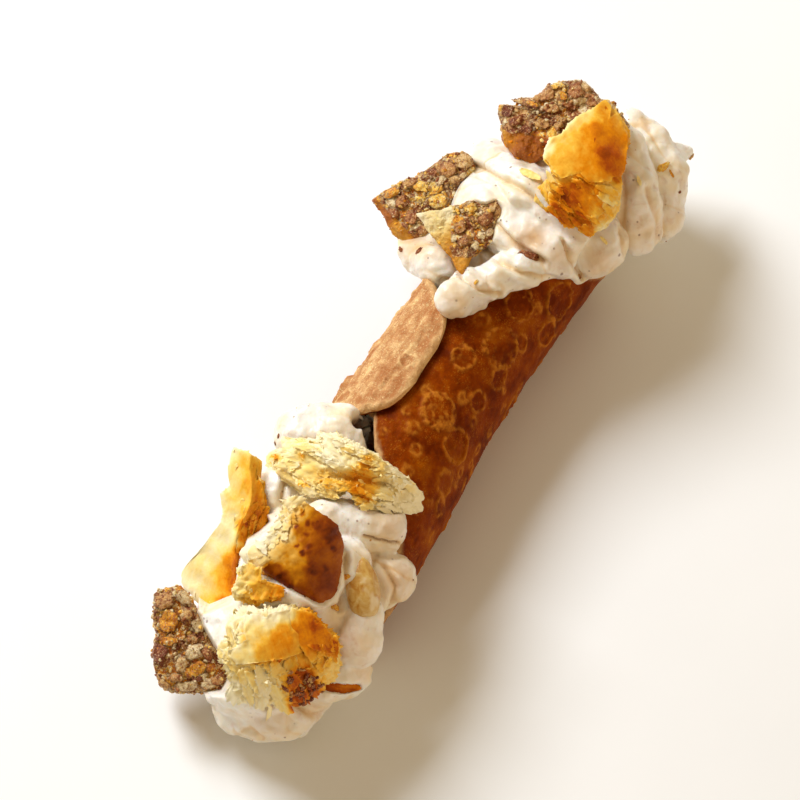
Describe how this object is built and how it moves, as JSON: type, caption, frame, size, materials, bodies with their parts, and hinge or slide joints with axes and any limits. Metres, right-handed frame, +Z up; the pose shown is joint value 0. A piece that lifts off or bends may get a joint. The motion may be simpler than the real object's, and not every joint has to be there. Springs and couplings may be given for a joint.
{
  "type": "baklava cannoli",
  "caption": "Rolled pastry shell, blistered from frying, filled with whipped cream that swells out of both mouths under broken baklava pieces.",
  "frame": {"origin": "middle of the flat strip under the shell that the part rests on", "axes": "+X along the shell towards the end with the large golden leaf of crust, +Z up, +Y towards the side that the curled leaf hangs on"},
  "size_m": [0.1464, 0.0517, 0.0405],
  "materials": {
    "fried_dough": "fried dough, satin with oil",
    "cream": "moist whipped cream",
    "nut_filling": "chopped nuts in syrup",
    "golden_crust": "glazed with butter and syrup",
    "filo": "dry flaky pastry",
    "soaked_crust": "pastry soaked in syrup",
    "kernel": "bare nut, slightly oily"
  },
  "bodies": {
    "root": {"shell": "fried_dough", "cream": "cream", "nut_piece_left": "nut_filling", "nut_piece_small": "nut_filling", "nut_piece_top": "nut_filling", "nut_piece_end": "nut_filling", "crust_leaf": "golden_crust", "crust_strip": "golden_crust", "filo_drape": "filo", "filo_curl": "filo", "filo_chunk": "filo", "filo_scrap": "filo", "soaked_slab": "soaked_crust", "whole_nut": "kernel"}
  },
  "joints": []
}
